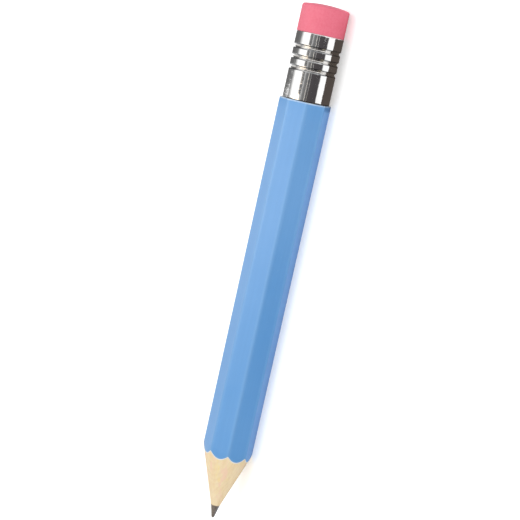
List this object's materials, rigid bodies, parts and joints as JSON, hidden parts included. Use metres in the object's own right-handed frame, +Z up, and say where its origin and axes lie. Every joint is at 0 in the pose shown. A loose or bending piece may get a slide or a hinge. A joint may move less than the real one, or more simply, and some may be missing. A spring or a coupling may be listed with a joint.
{
  "type": "jumbo wooden pencil",
  "caption": "Oversized eight-sided wooden pencil with a sharpened graphite point, a grooved metal ferrule and a rubber eraser.",
  "frame": {"origin": "under the middle of the pencil's length, on the surface that its lowest flat rests on", "axes": "+X along the pencil's axis from the point towards the eraser, +Z up from the resting flat, +Y completes the right-handed frame"},
  "size_m": [0.384, 0.0346, 0.0346],
  "materials": {
    "wood": "bare, pale and fine-grained, as the sharpener left it",
    "glue": "thin cured wood glue",
    "graphite": "dark warm grey with a dull metallic sheen",
    "primer": "thin pale matt undercoat",
    "colour_coat": "sky-blue lacquer, satin",
    "ferrule": "bright plated sheet metal with rolled grooves",
    "eraser": "pink, matt, slightly dusty"
  },
  "bodies": {
    "root": {"upper_slat": "wood", "lower_slat": "wood", "glue_film": "glue", "graphite_core": "graphite", "primer_coat": "primer", "colour_coat": "colour_coat", "ferrule": "ferrule", "eraser": "eraser"}
  },
  "joints": []
}
